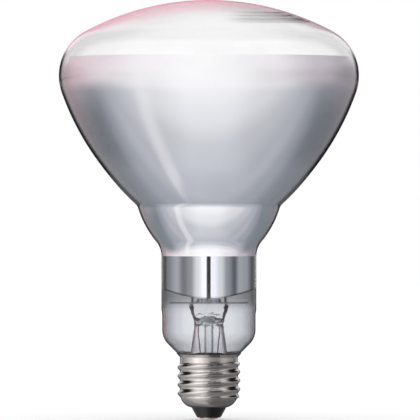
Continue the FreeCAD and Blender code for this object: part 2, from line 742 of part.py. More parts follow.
def cap_cement(lead):
    """The ring of cement between the seal of the bulb and the shell, set round the side lead."""
    foot = SEAL_HEIGHT - STEM_RIM_THICKNESS
    height = foot_corner_height() - CEMENT_TOP_MARGIN - foot
    ring = Part.makeCylinder(CAP_INNER_RADIUS - CEMENT_CLEARANCE, height, Vector(0, 0, foot))
    return ring.cut([Part.makeCylinder(SEAL_RADIUS, height, Vector(0, 0, foot)), lead])


def build():
    """Every piece of the lamp by name."""
    below, along, above, focus = bulb_outline()
    button_height = focus - BUTTON_DROP
    shell, hole_height, band = cap_shell()
    supports = [support_wire(index, focus, button_height) for index in range(SUPPORT_COUNT)]
    right_points = seal_wire_points()
    right_seal = wire_along(right_points, SEAL_WIRE_RADIUS)
    left_seal = wire_along([mirrored(point) for point in right_points], SEAL_WIRE_RADIUS)
    right_lead = inner_lead(focus, 1)
    left_lead = inner_lead(focus, -1)
    to_side = side_lead(hole_height)
    to_contact = contact_lead()
    pieces = {
        "glass_bulb": layer(below + along + above, 0, GLASS_WALL),
        "mirror_film": layer(along, GLASS_WALL, GLASS_WALL + FILM),
        "stem_glass": stem_glass([right_seal, left_seal, right_lead, left_lead]),
        "exhaust_tube": exhaust_tube(),
        "arbor_rod": arbor_rod(button_height, supports),
        "heat_shield": heat_shield(),
        "seal_wire_right": right_seal,
        "seal_wire_left": left_seal,
        "inner_lead_right": right_lead,
        "inner_lead_left": left_lead,
        "outer_lead_side": to_side,
        "outer_lead_contact": to_contact,
        "filament": filament(focus),
        "cap_shell": shell,
        "cap_cement": cap_cement(to_side),
        "cap_insulator": cap_insulator(),
        "centre_contact": centre_contact(),
        "contact_solder": contact_solder(to_contact),
        "side_solder": side_solder(hole_height, band, to_side),
    }
    for index, support in enumerate(supports):
        pieces[f"support_wire_{index + 1}"] = support
    return pieces


def export(pieces):
    """Writes each piece to its own STEP file."""
    os.makedirs("parts", exist_ok=True)
    for name, shape in pieces.items():
        shape.exportStep(f"parts/{name}.step")


export(build())
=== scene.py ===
import math

import bmesh
import bpy
import numpy as np
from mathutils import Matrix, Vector


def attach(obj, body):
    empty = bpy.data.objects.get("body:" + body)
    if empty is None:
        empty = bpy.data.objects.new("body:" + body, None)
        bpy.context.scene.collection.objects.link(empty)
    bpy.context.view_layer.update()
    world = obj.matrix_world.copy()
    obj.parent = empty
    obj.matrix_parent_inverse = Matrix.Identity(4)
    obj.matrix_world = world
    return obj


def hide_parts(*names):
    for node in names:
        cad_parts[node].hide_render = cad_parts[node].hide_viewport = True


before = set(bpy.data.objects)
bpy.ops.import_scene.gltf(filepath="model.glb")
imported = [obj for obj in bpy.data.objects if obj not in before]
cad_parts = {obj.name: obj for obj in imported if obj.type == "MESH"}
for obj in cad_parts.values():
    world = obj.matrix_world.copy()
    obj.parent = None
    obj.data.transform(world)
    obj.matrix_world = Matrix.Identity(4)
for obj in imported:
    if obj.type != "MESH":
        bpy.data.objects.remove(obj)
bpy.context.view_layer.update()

MM = 0.001

# Sizes in millimetres, as in the part's source
CAP_LENGTH = 27.8
THREAD_CREST_RADIUS = 13.1
THREAD_ROOT_RADIUS = 12.1
THREAD_PITCH = 3.63
THREAD_FADE = 1.4
THREAD_FOOT = 8.4
THREAD_TOP = 24.5
CREST_HEIGHT_AT_RIGHT = 9.05
SHEET = 0.3
RIM_RADIUS = 13.6
RIM_CORNER_RADIUS = 0.5
BOWL_RADIUS = 6.0
MOUTH_RADIUS = 7.2
MOUTH_HEIGHT = 4.9

GLASS_WALL = 1.0
SEAL_RADIUS = 10.8
SEAL_HEIGHT = 19.0
FOOT_LEAN = 45.0
FOOT_CORNER_RADIUS = 2.0
FOOT_SHOULDER_RADIUS = 8.6
LOWER_NECK_RADIUS = 19.45
LOWER_NECK_LENGTH = 6.0
NECK_STEP_LENGTH = 3.0
NECK_RADIUS = 19.8
CLEAR_NECK_LENGTH = 4.6
NECK_FLARE_RADIUS = 9.3
NECK_BOWL_RADIUS = 40.0
WAIST_LEAN = 17.0
WAIST_RADIUS = 30.6
FOCAL_LENGTH = 16.8
SHOULDER_BAND = 15.4
LOWER_SHOULDER_LEAN = 19.7
LOWER_SHOULDER_RADIUS = 22.0
SHOULDER_RADIUS = 21.0
BULB_RADIUS = 62.5
DOME_RISE = 31.5
MIRROR_RISE = 7.6

STEM_RIM_THICKNESS = 1.2
STEM_WALL = 1.1
STEM_TUBE_RADIUS = 6.1
STEM_FLARE_RADIUS = 9.3
STEM_WAIST_DROP = 3.0
STEM_FLARE_RISE = 6.0
STEM_FLARE_WIDTH = 1.2
PRESS_FOOT = 39.6
PRESS_TOP = 48.5
PRESS_HALF_WIDTH = 8.3
PRESS_HALF_DEPTH = 2.1
LEAD_SPACING = 6.9
SEAL_WIRE_FOOT_SPACING = 4.5
WREATH_RADIUS = 13.0
WREATH_OPENING = 120.0

# Sizes in millimetres that are different in the scene or only in it
MIRRORED_NECK_LENGTH = 17.132
WAIST_CORNER_RADIUS = 4.0
THIN_FROM, THIN_RUN, THIN_BY = 72.0, 30.0, 0.32
FILM_GAP = 0.03
FILM = 0.05
FILM_EDGE_DROP = 0.3
FILM_EDGE_CURVE = 4.1
FILM_BEND_TOP = 60.0
STEM_RIM_GAP = 0.05
SEAL_WIRE_HEIGHTS = (38.0, 40.94, 46.07, 47.4)
SEAL_WIRE_RADIUS = 0.32
KNOT_EXTRA, KNOT_HEIGHT, KNOT_SPREAD = 0.66, 46.4, 0.85
COIL_RADIUS = 0.48
COIL_WIRE = 0.12
CAMERA_DISTANCE = 2350.0
CAMERA_WIDTH_SEEN = 175.0
CAMERA_ASIDE = 0.46
CAMERA_HEIGHT = 87.3


def inward(lean):
    return np.array([-math.cos(lean), math.sin(lean)])


def straight(points, start, lean, length, count):
    """Adds a straight run to the outline and returns its end."""
    direction = np.array([math.sin(lean), math.cos(lean)])
    near = min(0.02 / length, 0.2)
    for share in [near] + [step / count for step in range(1, count)] + [1 - near, 1]:
        points.append((start + direction * (length * share), lean))
    return start + direction * length


def swing(points, start, lean, end_lean, radius, count):
    """Adds an arc that leaves at one lean and ends at another, and returns its end."""
    turns_in = 1 if end_lean < lean else -1
    centre = start + inward(lean) * (radius * turns_in)
    for step in range(1, count + 1):
        angle = lean + (end_lean - lean) * step / count
        points.append((centre - inward(angle) * (radius * turns_in), angle))
    return points[-1][0]


def bulb_outline():
    """The outer outline as (point, lean) pairs, with the numbers of the mirror's two edges."""
    rad = math.radians
    points = [(np.array([SEAL_RADIUS, SEAL_HEIGHT]), 0.0)]
    corner, lean = FOOT_CORNER_RADIUS, rad(FOOT_LEAN)
    rim_touch = RIM_RADIUS - SHEET * math.cos(lean)
    cone_width = rim_touch - SEAL_RADIUS - corner * (1 - math.cos(lean))
    corner_height = CAP_LENGTH - cone_width / math.tan(lean) - corner * math.sin(lean)
    point = straight(points, points[0][0], 0, corner_height - SEAL_HEIGHT, 4)
    point = swing(points, point, 0, lean, corner, 6)
    shoulder = FOOT_SHOULDER_RADIUS
    cone = LOWER_NECK_RADIUS - shoulder * (1 - math.cos(lean)) - point[0]
    point = straight(points, point, lean, cone / math.sin(lean), 6)
    point = swing(points, point, lean, 0, shoulder, 12)
    point = straight(points, point, 0, LOWER_NECK_LENGTH, 3)
    step_lean = 2 * math.atan((NECK_RADIUS - LOWER_NECK_RADIUS) / NECK_STEP_LENGTH)
    step_radius = NECK_STEP_LENGTH / (2 * math.sin(step_lean))
    point = swing(points, point, 0, step_lean, step_radius, 4)
    point = swing(points, point, step_lean, 0, step_radius, 4)
    point = straight(points, point, 0, CLEAR_NECK_LENGTH, 12)
    lower_edge = len(points) - 1
    point = straight(points, point, 0, MIRRORED_NECK_LENGTH, 40)
    waist_lean = rad(WAIST_LEAN)
    parabola_lean = math.atan(2 * FOCAL_LENGTH / WAIST_RADIUS)
    corner_width = WAIST_CORNER_RADIUS * (math.cos(waist_lean) - math.cos(parabola_lean))
    bowl_width = WAIST_RADIUS - NECK_RADIUS - corner_width
    flare, bowl = NECK_FLARE_RADIUS, NECK_BOWL_RADIUS
    flare_lean = math.acos((flare + bowl * math.cos(waist_lean) - bowl_width) / (flare + bowl))
    point = swing(points, point, 0, flare_lean, flare, 14)
    point = swing(points, point, flare_lean, waist_lean, bowl, 18)
    point = swing(points, point, waist_lean, parabola_lean, WAIST_CORNER_RADIUS, 8)
    vertex = point[1] - point[0] ** 2 / (4 * FOCAL_LENGTH)
    for radius in np.linspace(point[0], BULB_RADIUS - SHOULDER_BAND, 25)[1:]:
        height = vertex + radius**2 / (4 * FOCAL_LENGTH)
        points.append((np.array([radius, height]), math.atan(2 * FOCAL_LENGTH / radius)))
    point, top_lean = points[-1]
    low_lean, low_radius = rad(LOWER_SHOULDER_LEAN), LOWER_SHOULDER_RADIUS
    blend_width = SHOULDER_BAND - low_radius * (1 - math.cos(low_lean))
    blend_radius = blend_width / (math.cos(low_lean) - math.cos(top_lean))
    point = swing(points, point, top_lean, low_lean, blend_radius, 24)
    point = swing(points, point, low_lean, 0, low_radius, 12)
    rim_angle = math.asin(MIRROR_RISE / SHOULDER_RADIUS)
    point = swing(points, point, 0, -rim_angle, SHOULDER_RADIUS, 12)
    upper_edge = len(points) - 1
    centre_radius = BULB_RADIUS - SHOULDER_RADIUS
    squares = centre_radius**2 + DOME_RISE**2 - SHOULDER_RADIUS**2
    dome_radius = squares / (2 * (DOME_RISE - SHOULDER_RADIUS))
    touch = math.acos(centre_radius / (dome_radius - SHOULDER_RADIUS))
    point = swing(points, point, -rim_angle, -touch, SHOULDER_RADIUS, 20)
    swing(points, point, -touch, -math.pi / 2, dome_radius, 48)
    return points, lower_edge, upper_edge, vertex + FOCAL_LENGTH


OUTLINE, LOWER_EDGE, UPPER_EDGE, FOCUS = bulb_outline()


def inset(points, amount):
    return [point + inward(lean) * amount for point, lean in points]


def blown(points, extra=0.0):
    """The inside of the blown wall, which gets thinner from the neck to the widest place."""
    result = []
    for point, lean in points:
        share = min(max((point[1] - THIN_FROM) / THIN_RUN, 0.0), 1.0)
        result.append(point + inward(lean) * (GLASS_WALL - THIN_BY * share + extra))
    return result


def finish_mesh(name, bm, smooth=True):
    bmesh.ops.recalc_face_normals(bm, faces=bm.faces)
    mesh = bpy.data.meshes.new(name)
    bm.to_mesh(mesh)
    bm.free()
    if smooth:
        mesh.polygons.foreach_set("use_smooth", [True] * len(mesh.polygons))
        mesh.set_sharp_from_angle(angle=math.radians(38))
    obj = bpy.data.objects.new(name, mesh)
    bpy.context.scene.collection.objects.link(obj)
    return obj


def turned(name, loop, sides):
    """A mesh of revolution of a closed loop of (radius, height) points in millimetres."""
    bm = bmesh.new()
    rings = []
    for radius, height in loop:
        if radius < 1e-6:
            rings.append([bm.verts.new((0, 0, height * MM))])
            continue
        rings.append([
            bm.verts.new((
                radius * MM * math.cos(2 * math.pi * k / sides),
                radius * MM * math.sin(2 * math.pi * k / sides),
                height * MM,
            ))
            for k in range(sides)
        ])
    for low, high in zip(rings, rings[1:] + rings[:1]):
        if len(low) == 1 and len(high) == 1:
            continue
        for k in range(sides):
            after = (k + 1) % sides
            if len(low) == 1:
                bm.faces.new((low[0], high[after], high[k]))
            elif len(high) == 1:
                bm.faces.new((low[k], low[after], high[0]))
            else:
                bm.faces.new((low[k], low[after], high[after], high[k]))
    return finish_mesh(name, bm)


def tube(name, path, radius, sides):
    """A round tube along a list of points in millimetres."""
    path = [Vector(p) for p in path]
    bm = bmesh.new()
    rings = []
    previous = None
    for i, p in enumerate(path):
        before = path[max(i - 1, 0)]
        after = path[min(i + 1, len(path) - 1)]
        along = (after - before).normalized()
        if previous is None:
            side = along.orthogonal().normalized()
        else:
            side = (previous - along * previous.dot(along)).normalized()
        previous = side
        other = along.cross(side)
        size = radius(i / (len(path) - 1)) if callable(radius) else radius
        rings.append([
            bm.verts.new((p + (side * math.cos(a) + other * math.sin(a)) * size) * MM)
            for a in (2 * math.pi * k / sides for k in range(sides))
        ])
    for low, high in zip(rings, rings[1:]):
        for k in range(sides):
            after = (k + 1) % sides
            bm.faces.new((low[k], low[after], high[after], high[k]))
    bm.faces.new(rings[0][::-1])
    bm.faces.new(rings[-1])
    return finish_mesh(name, bm)


def arc_points(centre, radius, start, end, count):
    """Points of an arc in the half-plane, angles in degrees from the outward direction."""
    return [
        (centre[0] + radius * math.cos(math.radians(a)), centre[1] + radius * math.sin(math.radians(a)))
        for a in np.linspace(start, end, count)
    ]


def ride(obj, node):
    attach(obj, "root")
    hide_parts(node)


class Tree:
    """A short way to write a node tree."""

    def __init__(self, tree):
        self.tree = tree
        self.tree.nodes.clear()

    def node(self, kind, **inputs):
        node = self.tree.nodes.new(kind)
        for key, value in inputs.items():
            self.feed(node.inputs[key.replace("_", " ")], value)
        return node

    def feed(self, socket, value):
        if isinstance(value, bpy.types.NodeSocket):
            self.tree.links.new(value, socket)
        else:
            socket.default_value = value

    def math(self, operation, *values):
        node = self.node("ShaderNodeMath")
        node.operation = operation
        for socket, value in zip(node.inputs, values):
            self.feed(socket, value)
        return node.outputs[0]

    def product(self, *factors):
        result = factors[0]
        for factor in factors[1:]:
            result = self.math("MULTIPLY", result, factor)
        return result

    def smooth(self, value, low, high):
        """0 below low, 1 above high and a soft step between them."""
        node = self.node("ShaderNodeMapRange")
        node.interpolation_type = "SMOOTHSTEP"
        self.feed(node.inputs["Value"], value)
        flip = low > high
        self.feed(node.inputs["From Min"], min(low, high))
        self.feed(node.inputs["From Max"], max(low, high))
        self.feed(node.inputs["To Min"], 1.0 if flip else 0.0)
        self.feed(node.inputs["To Max"], 0.0 if flip else 1.0)
        return node.outputs[0]

    def mix(self, factor, a, b, kind="MIX"):
        node = self.node("ShaderNodeMix")
        node.data_type = "RGBA"
        node.blend_type = kind
        self.feed(node.inputs[0], factor)
        self.feed(node.inputs[6], a if isinstance(a, bpy.types.NodeSocket) else (*a, 1)[:4])
        self.feed(node.inputs[7], b if isinstance(b, bpy.types.NodeSocket) else (*b, 1)[:4])
        return node.outputs[2]

    def tint(self, a, b):
        """One colour times another."""
        return self.mix(1.0, a, b, "MULTIPLY")

    def ramp(self, value, stops):
        """A colour that changes softly from stop to stop. A plain number is a grey."""
        node = self.node("ShaderNodeValToRGB")
        node.color_ramp.interpolation = "EASE"
        elements = node.color_ramp.elements
        while len(elements) < len(stops):
            elements.new(0.5)
        for element, (place, colour) in zip(elements, sorted(stops)):
            element.position = place
            element.color = (*colour, 1) if isinstance(colour, tuple) else (colour, colour, colour, 1)
        self.feed(node.inputs[0], value)
        return node.outputs[0]

    def place(self, scale=(1, 1, 1)):
        coordinates = self.node("ShaderNodeTexCoord").outputs["Object"]
        return self.node("ShaderNodeMapping", Vector=coordinates, Scale=scale).outputs[0]

    def noise(self, scale, detail=3.0, rough=0.5, stretch=(1, 1, 1), warp=0.0):
        node = self.node("ShaderNodeTexNoise", Vector=self.place(scale=stretch), Scale=scale, Detail=detail,
                         Roughness=rough, Distortion=warp)
        return node.outputs["Fac"]

    def bump(self, height, distance, normal=None):
        node = self.node("ShaderNodeBump", Height=height, Distance=distance, Strength=1.0)
        if normal is not None:
            self.feed(node.inputs["Normal"], normal)
        return node.outputs[0]

    def span(self, value, low, high):
        """From 0 to 1, made to run from low to high."""
        return self.node("ShaderNodeMapRange", Value=value, To_Min=low, To_Max=high).outputs[0]

    def axes(self):
        """The place on the lamp as X, Y and Z, in metres."""
        return self.node("ShaderNodeSeparateXYZ", Vector=self.place()).outputs

    def height(self):
        return self.axes()["Z"]

    def facing(self):
        """0 where the surface faces the view and 1 where it turns away."""
        return self.node("ShaderNodeLayerWeight", Blend=0.5).outputs["Facing"]


def material(name, build):
    mat = bpy.data.materials.new(name)
    mat.use_nodes = True
    tree = Tree(mat.node_tree)
    shader = build(tree)
    tree.node("ShaderNodeOutputMaterial", Surface=shader)
    return mat


def surface(tree, **inputs):
    return tree.node("ShaderNodeBsdfPrincipled", **inputs).outputs[0]


def film_edge(t):
    """The height above the lower edge of the mirror, in metres."""
    axes = t.axes()
    share = t.math("POWER", t.math("DIVIDE", axes["X"], NECK_RADIUS * MM), 2.0)
    edge = t.product(share, FILM_EDGE_CURVE * MM)
    edge = t.math("ADD", edge, (OUTLINE[LOWER_EDGE][0][1] - FILM_EDGE_DROP) * MM)
    return t.math("SUBTRACT", axes["Z"], edge)


def bulb_glass(t):
    z = t.height()
    drawn = t.noise(120, 2.0, 0.5, (1, 1, 0.08))
    wavy = t.noise(38, 2.0, 0.45)
    normal = t.bump(wavy, 0.00001)
    normal = t.bump(drawn, 0.000004, normal)
    # Painted shade: the clear neck is tinted grey, darker where the wall turns away from the view and darker
    # still just under the mirror
    painted_neck_shade = t.ramp(t.facing(), [
        (0.0, (0.85, 0.865, 0.885)),
        (0.13, (0.825, 0.84, 0.865)),
        (0.26, (0.735, 0.75, 0.775)),
        (0.46, (0.60, 0.61, 0.635)),
        (0.65, (0.49, 0.495, 0.515)),
        (1.0, (0.36, 0.36, 0.375)),
    ])
    darker_under_mirror = t.product(t.smooth(z, 0.0440, 0.0515), 0.36)
    painted_neck_shade = t.mix(darker_under_mirror, painted_neck_shade, (0.0, 0.0, 0.0))
    below_mirror = t.smooth(film_edge(t), 0.0004, -0.0002)
    colour = t.mix(below_mirror, (0.999, 0.998, 0.9985), painted_neck_shade)
    return surface(t, Base_Color=colour, Roughness=0.0, IOR=1.37, Transmission_Weight=1.0, Normal=normal)


def mirror(t):
    z = t.height()
    facing = t.facing()
    tone = t.noise(30, 3.0, 0.5)
    colour = t.mix(tone, (0.90, 0.90, 0.915), (0.93, 0.925, 0.935))
    # A film that is duller the higher it lies
    rough = t.span(t.noise(70, 4.0, 0.6), 0.012, 0.03)
    rough = t.math("ADD", rough, t.product(t.smooth(z, 0.075, 0.125), 0.14))
    rough = t.math("ADD", rough, t.product(t.smooth(z, 0.130, 0.141), 0.09))
    # A dark line along its lower edge, weaker in the middle: the film thins out there, and the line is
    # painted shade, strongest towards the sides along X
    at_side = t.smooth(t.math("ABSOLUTE", t.axes()["X"]), 0.004, 0.012)
    depth = t.math("ADD", t.product(at_side, 0.5), 0.25)
    thin_edge_shade = t.product(t.smooth(film_edge(t), 0.0010, 0.0003), depth)
    colour = t.mix(thin_edge_shade, colour, (0.10, 0.10, 0.105))
    # Painted shade and reflection: the upper reflector is made greyer where it turns away from the view, and
    # the sides of the bowl get a cool painted tint in place of the colour they reflect
    painted_side_shade = t.product(t.smooth(z, 0.102, 0.114), t.smooth(z, 0.139, 0.124), t.smooth(facing, 0.30, 0.56))
    colour = t.mix(painted_side_shade, colour, (0.66, 0.67, 0.68))
    painted_bowl_tint = t.product(t.smooth(z, 0.0675, 0.0682), t.smooth(z, 0.095, 0.088), t.smooth(facing, 0.34, 0.66))
    colour = t.mix(painted_bowl_tint, colour, (0.84, 0.925, 0.925))
    normal = t.bump(t.noise(26, 2.0, 0.4), 0.00001)
    return surface(t, Base_Color=colour, Metallic=1.0, Roughness=rough, Normal=normal)


def stem_glass(t):
    z = t.height()
    # Creases in the press, the strongest at its foot
    creases = t.noise(330, 3.0, 0.6, (1, 1, 0.8), 0.8)
    at_foot = t.product(t.smooth(z, 0.0396, 0.0406), t.smooth(z, 0.0424, 0.0413))
    at_press = t.product(t.smooth(z, 0.0385, 0.0400), t.smooth(z, 0.0470, 0.0435))
    amount = t.math("ADD", t.product(at_press, 0.16), t.product(at_foot, 0.5))
    drawn = t.noise(260, 2.0, 0.5, (1, 1, 0.06))
    normal = t.bump(t.product(creases, amount), 0.0030)
    normal = t.bump(drawn, 0.00003, normal)
    colour = t.mix(t.noise(90, 2.0), (0.975, 0.98, 0.985), (0.99, 0.992, 0.995))
    return surface(t, Base_Color=colour, Roughness=0.0, IOR=1.52, Transmission_Weight=1.0, Normal=normal)


def metal(colour_a, colour_b, rough_low, rough_high, scale, stretch=(1, 1, 1)):
    def build(t):
        tone = t.noise(scale * 0.4, 3.0, 0.55)
        grain = t.noise(scale, 4.0, 0.6, stretch)
        colour = t.mix(tone, colour_a, colour_b)
        return surface(t, Base_Color=colour, Metallic=1.0, Roughness=t.span(grain, rough_low, rough_high),
                       Normal=t.bump(grain, 0.000004))
    return build


def cap_nickel(t):
    tone = t.noise(150, 4.0, 0.6)
    rolled = t.noise(500, 4.0, 0.6, (0.15, 0.15, 1.6))
    spots = t.smooth(t.noise(700, 2.0, 0.5), 0.62, 0.72)
    x, y, z = (t.axes()[axis] for axis in "XYZ")
    colour = t.mix(tone, (0.56, 0.53, 0.52), (0.70, 0.67, 0.655))
    colour = t.mix(t.product(spots, 0.25), colour, (0.42, 0.38, 0.36))
    # Painted shade: the cap is darker towards its bottom, standing in for the shaded table it reflects
    painted_bottom_shade = t.product(t.smooth(z, 0.0098, 0.0076), 0.6)
    colour = t.mix(painted_bottom_shade, colour, (0.27, 0.25, 0.24))
    # Painted reflection: dark patches just above the crests of the thread, at three places round with one
    # near the front, stand in for dark flags reflected there
    azimuth = t.math("ARCTAN2", y, x)
    climb = t.math("DIVIDE", t.math("SUBTRACT", z, CREST_HEIGHT_AT_RIGHT * MM), THREAD_PITCH * MM)
    phase = t.math("SUBTRACT", t.product(climb, 2 * math.pi), azimuth)
    crest = t.smooth(t.math("COSINE", t.math("SUBTRACT", phase, 0.45)), 0.35, 0.85)
    near_front = t.product(t.math("ADD", azimuth, 1.36), 3.0)
    patch_places = t.smooth(t.math("COSINE", near_front), 0.62, 0.86)
    on_thread = t.product(t.smooth(z, 0.0085, 0.0095), t.smooth(z, 0.0245, 0.0238))
    patches = t.smooth(t.noise(260, 3.0, 0.6), 0.25, 0.45)
    painted_dark_reflection = t.product(crest, patch_places, on_thread, patches, 0.62)
    colour = t.mix(painted_dark_reflection, colour, (0.10, 0.088, 0.088))
    # Painted shade: a near-black line under the rim, where the shell lies in shadow
    painted_rim_shade = t.product(t.smooth(z, 0.0270, 0.0274), 0.88)
    colour = t.mix(painted_rim_shade, colour, (0.03, 0.028, 0.028))
    rough = t.span(rolled, 0.10, 0.22)
    return surface(t, Base_Color=colour, Metallic=1.0, Roughness=rough, Normal=t.bump(rolled, 0.000012))


def black_glass(t):
    tone = t.noise(220, 3.0, 0.5)
    colour = t.mix(tone, (0.0012, 0.0012, 0.0015), (0.004, 0.004, 0.0045))
    rough = t.span(t.noise(500, 3.0, 0.6), 0.06, 0.16)
    normal = t.bump(t.noise(160, 3.0), 0.00006)
    return surface(t, Base_Color=colour, Roughness=rough, IOR=1.5, Normal=normal)


def cement(t):
    grain = t.noise(900, 5.0, 0.7)
    colour = t.mix(grain, (0.50, 0.44, 0.34), (0.68, 0.62, 0.52))
    return surface(t, Base_Color=colour, Roughness=t.span(grain, 0.8, 0.95), Normal=t.bump(grain, 0.0001))


def solder(t):
    grain = t.noise(420, 4.0, 0.6)
    colour = t.mix(grain, (0.60, 0.60, 0.61), (0.78, 0.78, 0.79))
    return surface(t, Base_Color=colour, Metallic=1.0, Roughness=t.span(grain, 0.22, 0.45),
                   Normal=t.bump(grain, 0.00005))


M = {
    "bulb_glass": material("bulb_glass", bulb_glass),
    "mirror_film": material("mirror_film", mirror),
    "stem_glass": material("stem_glass", stem_glass),
    "shield": material("shield_aluminium",
                       metal((0.50, 0.51, 0.53), (0.64, 0.65, 0.67), 0.12, 0.26, 260, (1, 1, 6))),
    "copper": material("copper_wire", metal((0.07, 0.055, 0.052), (0.15, 0.11, 0.10), 0.30, 0.50, 900)),
    "nickel": material("nickel_wire", metal((0.22, 0.215, 0.21), (0.36, 0.355, 0.35), 0.22, 0.40, 900)),
    "molybdenum": material("molybdenum_wire", metal((0.24, 0.24, 0.25), (0.36, 0.36, 0.37), 0.30, 0.48, 900)),
    "tungsten": material("tungsten", metal((0.14, 0.14, 0.15), (0.24, 0.24, 0.25), 0.35, 0.55, 1200)),
    "cap": material("cap_nickel", cap_nickel),
    "black_glass": material("black_glass", black_glass),
    "brass": material("contact_brass", metal((0.60, 0.55, 0.45), (0.72, 0.68, 0.60), 0.22, 0.40, 600)),
    "cement": material("cement", cement),
    "solder": material("solder", solder),
}


def dress(obj, key):
    obj.data.materials.clear()
    obj.data.materials.append(M[key])
    return obj


# Bulb and mirror
outer = inset(OUTLINE, 0)
inner = blown(OUTLINE)
bulb = turned("bulb", outer + inner[::-1], 176)
ride(dress(bulb, "bulb_glass"), "glass_bulb")

film_points = OUTLINE[LOWER_EDGE:UPPER_EDGE + 1]
front = blown(film_points, FILM_GAP)
back = blown(film_points, FILM_GAP + FILM)
film = turned("mirror", front + back[::-1], 176)
# The lower edge of the evaporated film is a little higher at the sides
film_foot = OUTLINE[LOWER_EDGE][0][1]
for vertex in film.data.vertices:
    z = vertex.co.z / MM
    if z < FILM_BEND_TOP:
        share = (vertex.co.x / MM / NECK_RADIUS) ** 2
        hang = (FILM_BEND_TOP - z) / (FILM_BEND_TOP - film_foot)
        vertex.co.z += (FILM_EDGE_CURVE * share - FILM_EDGE_DROP) * hang * MM
ride(dress(film, "mirror_film"), "mirror_film")


# Cap shell
def thread_share(height):
    near = min(height - THREAD_FOOT, THREAD_TOP - height) / THREAD_FADE
    near = min(max(near, 0), 1)
    return near * near * (3 - 2 * near)


def shell_stations(amount):
    """Rings of the shell at an inset: (radius of the root, height, share of the thread)."""
    centre = (THREAD_ROOT_RADIUS - BOWL_RADIUS, MOUTH_HEIGHT + BOWL_RADIUS)
    radius = BOWL_RADIUS - amount
    reach = MOUTH_RADIUS - centre[0]
    start = -math.degrees(math.acos(reach / radius))
    end = -math.degrees(math.asin((centre[1] - THREAD_FOOT) / radius))
    stations = [(r, z, 0.0) for r, z in arc_points(centre, radius, start, end, 12)]
    count = 134
    for step in range(1, count + 1):
        z = THREAD_FOOT + (THREAD_TOP - THREAD_FOOT) * step / count
        drop = max(centre[1] - z, 0)
        root = centre[0] + math.sqrt(radius**2 - drop**2)
        stations.append((root, z, thread_share(z)))
    outline = []
    corner, lean = RIM_CORNER_RADIUS, math.radians(FOOT_LEAN)
    corner_width = corner * (1 - math.cos(lean))
    flare = RIM_RADIUS - THREAD_ROOT_RADIUS - corner_width
    tip = CAP_LENGTH - SHEET * math.sin(lean)
    band = tip - flare - corner * math.sin(lean) - THREAD_TOP
    point = straight(outline, np.array([THREAD_ROOT_RADIUS, THREAD_TOP]), 0, band, 3)
    point = swing(outline, point, 0, lean, corner, 5)
    straight(outline, point, lean, flare / math.sin(lean), 4)
    stations += [(r, z, 0.0) for r, z in inset(outline, amount)]
    return stations


def cap_mesh(sides=144):
    bm = bmesh.new()
    rings = []
    half_depth = (THREAD_CREST_RADIUS - THREAD_ROOT_RADIUS) / 2
    for root, z, share in shell_stations(0) + shell_stations(SHEET)[::-1]:
        crest = 2 * math.pi * (z - CREST_HEIGHT_AT_RIGHT) / THREAD_PITCH
        ring = []
        for k in range(sides):
            angle = 2 * math.pi * k / sides
            wave = math.cos(angle - crest)
            radius = root + half_depth * share * (1 + wave)
            ring.append(bm.verts.new((radius * MM * math.cos(angle), radius * MM * math.sin(angle), z * MM)))
        rings.append(ring)
    for low, high in zip(rings, rings[1:] + rings[:1]):
        for k in range(sides):
            after = (k + 1) % sides
            bm.faces.new((low[k], low[after], high[after], high[k]))
    return finish_mesh("cap", bm)


cap = cap_mesh()
ride(dress(cap, "cap"), "cap_shell")


